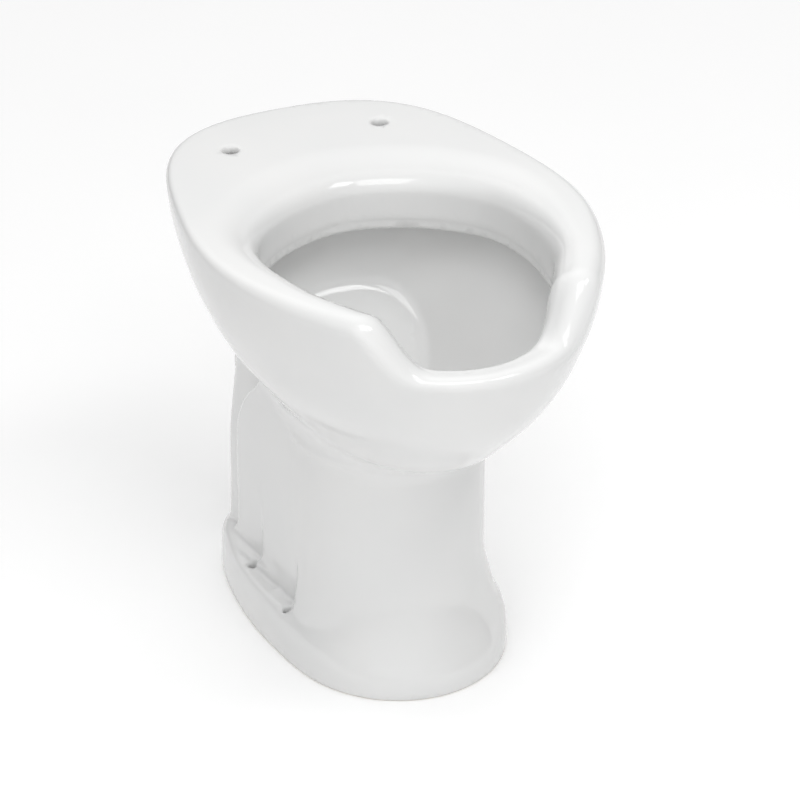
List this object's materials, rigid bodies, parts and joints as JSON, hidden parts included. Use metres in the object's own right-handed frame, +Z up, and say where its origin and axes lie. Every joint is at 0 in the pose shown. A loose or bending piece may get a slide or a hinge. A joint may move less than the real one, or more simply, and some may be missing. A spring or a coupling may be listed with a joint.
{
  "type": "accessible toilet pan",
  "caption": "Raised-height floor-standing toilet pan with flat rear deck, open hollow rim, lowered front lip, pedestal with side floor fixings, internal trap and rear outlet.",
  "frame": {"origin": "floor level, under the centre of the pan's outer box", "axes": "+Z up, the lowered front lip faces -Y, the flush inlet and outlet face +Y, +X to the right seen from the front, and the pan is symmetric left to right"},
  "size_m": [0.37, 0.511, 0.45],
  "materials": {
    "glazed_white": "gloss white glaze",
    "seal_rubber": "matt black rubber"
  },
  "bodies": {
    "root": {"rim": "glazed_white", "front_lip": "glazed_white", "bowl_shell": "glazed_white", "basin": "glazed_white", "rim_channel_floor": "glazed_white", "channel_rear_wall": "glazed_white", "flush_deflector": "glazed_white", "flush_inlet": "glazed_white", "trap_bend": "glazed_white", "trap_weir": "glazed_white", "outlet_spigot": "glazed_white", "foot": "glazed_white", "pedestal_front": "glazed_white", "pedestal_side_left": "glazed_white", "pedestal_side_right": "glazed_white", "trap_web": "glazed_white", "inlet_seal": "seal_rubber"}
  },
  "joints": []
}
